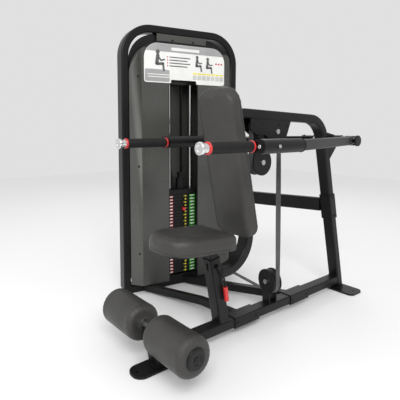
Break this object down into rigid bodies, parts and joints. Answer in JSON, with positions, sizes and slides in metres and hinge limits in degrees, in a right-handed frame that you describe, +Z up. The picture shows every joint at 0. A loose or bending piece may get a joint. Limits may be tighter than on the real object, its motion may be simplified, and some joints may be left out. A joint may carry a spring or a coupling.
{
  "type": "seated dip machine",
  "caption": "Seated dip machine with a belt-driven weight stack tower, lever arms with turning handles, padded seat and back, and leg rollers.",
  "frame": {"origin": "on the floor under the front foot, on the seat's middle plane", "axes": "+Z up, the user faces -Y, the weight tower stands on the -X side"},
  "size_m": [1.1639, 1.541, 1.6],
  "materials": {
    "frame_paint": "satin",
    "shroud_paint": "satin",
    "vinyl": "satin",
    "plate_iron": "matte",
    "steel": "satin",
    "chrome_steel": "gloss",
    "black_rubber": "matte",
    "red_plastic": "gloss",
    "black_plastic": "satin",
    "white_plastic": "satin",
    "belt_rubber": "matte"
  },
  "bodies": {
    "frame": {"back_pad": "vinyl", "back_plate": "frame_paint", "back_tube": "frame_paint", "base_tube": "frame_paint", "beam_bracket": "frame_paint", "frame_bolts": "steel", "frame_sleeves": "frame_paint", "front_cross_tube": "frame_paint", "front_foot": "frame_paint", "front_shroud": "shroud_paint", "guide_rods": "chrome_steel", "leg_axle": "steel", "leg_post": "frame_paint", "lift_belt": "belt_rubber", "mid_cross_tube": "frame_paint", "pivot_bearings": "steel", "pivot_housing": "frame_paint", "placard": "white_plastic", "pulley_axles": "steel", "pulley_plates": "frame_paint", "rear_arch": "frame_paint", "rear_cross_tube": "frame_paint", "rear_foot": "frame_paint", "rear_shroud": "shroud_paint", "resting_plates": "plate_iron", "rubber_stops": "black_rubber", "seat_post": "frame_paint", "shroud_screws": "steel", "stack_tray": "frame_paint", "top_bracket": "frame_paint", "tower_loop": "frame_paint"},
    "arms": {"arm_axle": "steel", "axle_collars": "chrome_steel", "arm_left": "frame_paint", "arm_right": "frame_paint", "arm_cross_tube": "frame_paint", "handle_sleeves": "frame_paint", "arm_pulley_plates": "frame_paint", "arm_bolts": "steel"},
    "handle_left_body": {"handle_left": "chrome_steel", "grip_left": "black_rubber", "rings_left": "red_plastic"},
    "handle_right_body": {"handle_right": "chrome_steel", "grip_right": "black_rubber", "rings_right": "red_plastic"},
    "arm_pulley_body": {"arm_pulley": "black_plastic"},
    "top_pulley_body": {"top_pulley": "black_plastic"},
    "base_pulley_body": {"base_pulley": "black_plastic"},
    "foot_pulley_body": {"tower_foot_pulley": "black_plastic"},
    "tower_pulley_body": {"tower_top_pulley": "black_plastic"},
    "stack": {"lifted_plates": "plate_iron", "head_plate": "plate_iron", "selector_stem": "steel"},
    "pin": {"selector_pin": "red_plastic"},
    "seat": {"seat_slide": "frame_paint", "seat_pad": "vinyl"},
    "lever": {"seat_lever": "steel", "lever_grip": "red_plastic"},
    "roller_left_body": {"roller_left": "vinyl"},
    "roller_right_body": {"roller_right": "vinyl"}
  },
  "joints": [
    {"name": "arm_swing", "type": "hinge", "parent": "frame", "child": "arms", "pos_m": [0, 1.262, 0.925], "axis": [1, 0, 0], "range_deg": [0, 20], "deforming": ["lift_belt"]},
    {"name": "handle_left_turn", "type": "hinge", "parent": "arms", "child": "handle_left_body", "pos_m": [0.315, 0.306, 0.925], "axis": [0, 1, 0], "range_deg": [0, 180]},
    {"name": "handle_right_turn", "type": "hinge", "parent": "arms", "child": "handle_right_body", "pos_m": [-0.315, 0.306, 0.925], "axis": [0, -1, 0], "range_deg": [0, 180]},
    {"name": "arm_pulley_spin", "type": "hinge", "parent": "arms", "child": "arm_pulley_body", "pos_m": [0, 0.6501, 0.827], "axis": [1, 0, 0], "range_deg": [-400, 400]},
    {"name": "top_pulley_spin", "type": "hinge", "parent": "frame", "child": "top_pulley_body", "pos_m": [0, 0.755, 0.978], "axis": [1, 0, 0], "range_deg": [-1500, 1500]},
    {"name": "base_pulley_spin", "type": "hinge", "parent": "frame", "child": "base_pulley_body", "pos_m": [0, 0.75, 0.196], "axis": [0.1736, 0.9848, 0], "range_deg": [-1500, 1500]},
    {"name": "foot_pulley_spin", "type": "hinge", "parent": "frame", "child": "foot_pulley_body", "pos_m": [-0.61282, 0.85806, 0.176], "axis": [0.1736, 0.9848, 0], "range_deg": [-1500, 1500]},
    {"name": "tower_pulley_spin", "type": "hinge", "parent": "frame", "child": "tower_pulley_body", "pos_m": [-0.67117, 0.77706, 1.386], "axis": [0.9848, -0.1736, 0], "range_deg": [-1500, 1500]},
    {"name": "stack_lift", "type": "slide", "parent": "frame", "child": "stack", "axis": [0, 0, 1], "range_m": [0, 0.4292]},
    {"name": "pin_pull", "type": "slide", "parent": "stack", "child": "pin", "axis": [0.9848, -0.1736, 0], "range_m": [0, 0.07]},
    {"name": "seat_height", "type": "slide", "parent": "frame", "child": "seat", "axis": [0, -0.1959, 0.9806], "range_m": [-0.02, 0.1]},
    {"name": "seat_release", "type": "hinge", "parent": "frame", "child": "lever", "pos_m": [0.0325, 0.34145, 0.369], "axis": [1, 0, 0], "range_deg": [0, 14], "stiffness_Nm_per_rad": 0.6, "springref_deg": -20.05},
    {"name": "roller_left_spin", "type": "hinge", "parent": "frame", "child": "roller_left_body", "pos_m": [0.17, 0.00323, 0.175], "axis": [1, 0, 0], "continuous": true},
    {"name": "roller_right_spin", "type": "hinge", "parent": "frame", "child": "roller_right_body", "pos_m": [-0.17, 0.00323, 0.175], "axis": [1, 0, 0], "continuous": true}
  ],
  "couplings": [
    {"joint": "stack_lift", "follows": "arm_swing", "m_per_rad": 1.2238},
    {"joint": "arm_pulley_spin", "follows": "arm_swing", "ratio": 9.2154},
    {"joint": "top_pulley_spin", "follows": "arm_swing", "ratio": 27.256},
    {"joint": "base_pulley_spin", "follows": "arm_swing", "ratio": -19.771},
    {"joint": "foot_pulley_spin", "follows": "arm_swing", "ratio": 29.208},
    {"joint": "tower_pulley_spin", "follows": "arm_swing", "ratio": 13.613}
  ]
}
